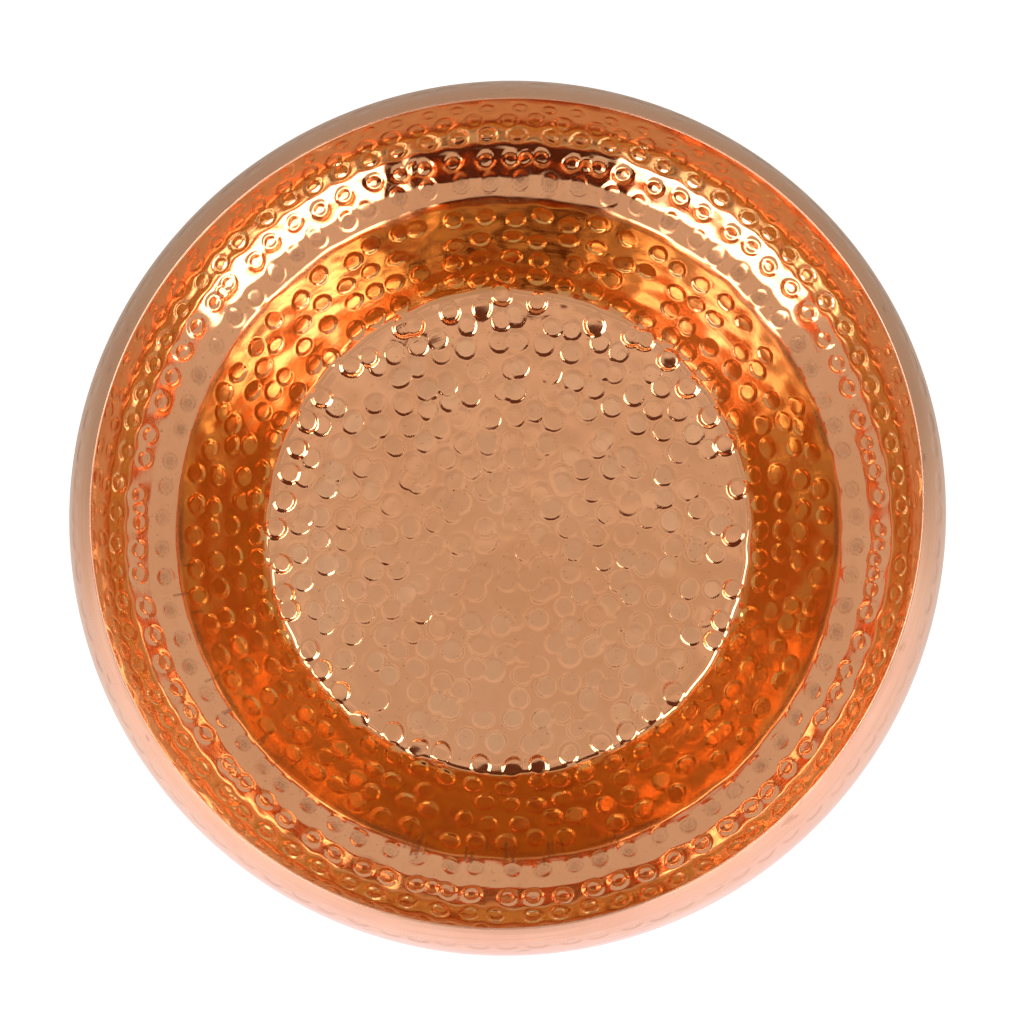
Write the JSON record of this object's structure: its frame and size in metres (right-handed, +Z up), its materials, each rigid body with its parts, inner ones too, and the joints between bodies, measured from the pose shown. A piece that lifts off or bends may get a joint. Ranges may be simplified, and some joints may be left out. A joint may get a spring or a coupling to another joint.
{
  "type": "hammered copper tray",
  "caption": "Deep round hammered copper tray with a flat base, a flared lower wall, a rounded belly and a plain in-curved lip.",
  "frame": {"origin": "centre of the underside of the flat base, on the surface the tray rests on", "axes": "+Z up along the tray's axis, out of its mouth; X and Y across it, alike by symmetry"},
  "size_m": [0.4296, 0.4296, 0.1538],
  "materials": {
    "copper": "bright polished copper, hammered all over, with fine polishing lines on the rim"
  },
  "bodies": {
    "root": {"tray_shell": "copper"}
  },
  "joints": []
}
